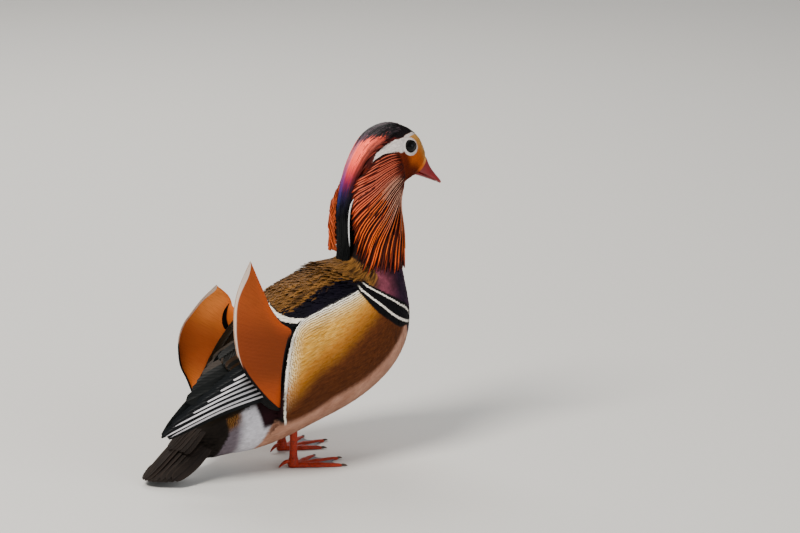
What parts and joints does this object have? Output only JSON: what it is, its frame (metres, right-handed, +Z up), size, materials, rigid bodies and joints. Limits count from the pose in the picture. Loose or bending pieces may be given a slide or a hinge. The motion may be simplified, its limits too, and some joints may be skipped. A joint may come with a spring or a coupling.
{
  "type": "mandarin duck",
  "caption": "Life-size drake mandarin duck standing on both feet, head up and turned a little, sail feathers raised over folded wings.",
  "frame": {"origin": "middle of the bounding box, at the floor under the feet", "axes": "+X towards the bill, +Y to the bird's left, +Z up"},
  "size_m": [0.3086, 0.1208, 0.2916],
  "materials": {
    "body_plumage": "soft feathers",
    "neck_plumage": "soft feathers",
    "head_plumage": "silky feathers",
    "bill": "horny, low sheen",
    "eye": "wet gloss",
    "wing_feathers": "smooth feathers with a sheen",
    "sail_feathers": "smooth feathers",
    "tail_feathers": "smooth feathers",
    "leg_skin": "scaled skin"
  },
  "bodies": {
    "root": {"torso": "body_plumage", "neck": "neck_plumage", "head": "head_plumage", "bill_upper": "bill", "bill_lower": "bill", "eye_left": "eye", "eye_right": "eye", "wing_left": "wing_feathers", "wing_right": "wing_feathers", "sail_left": "sail_feathers", "sail_right": "sail_feathers", "tail": "tail_feathers", "leg_left": "leg_skin", "leg_right": "leg_skin", "foot_left": "leg_skin", "foot_right": "leg_skin"}
  },
  "joints": []
}
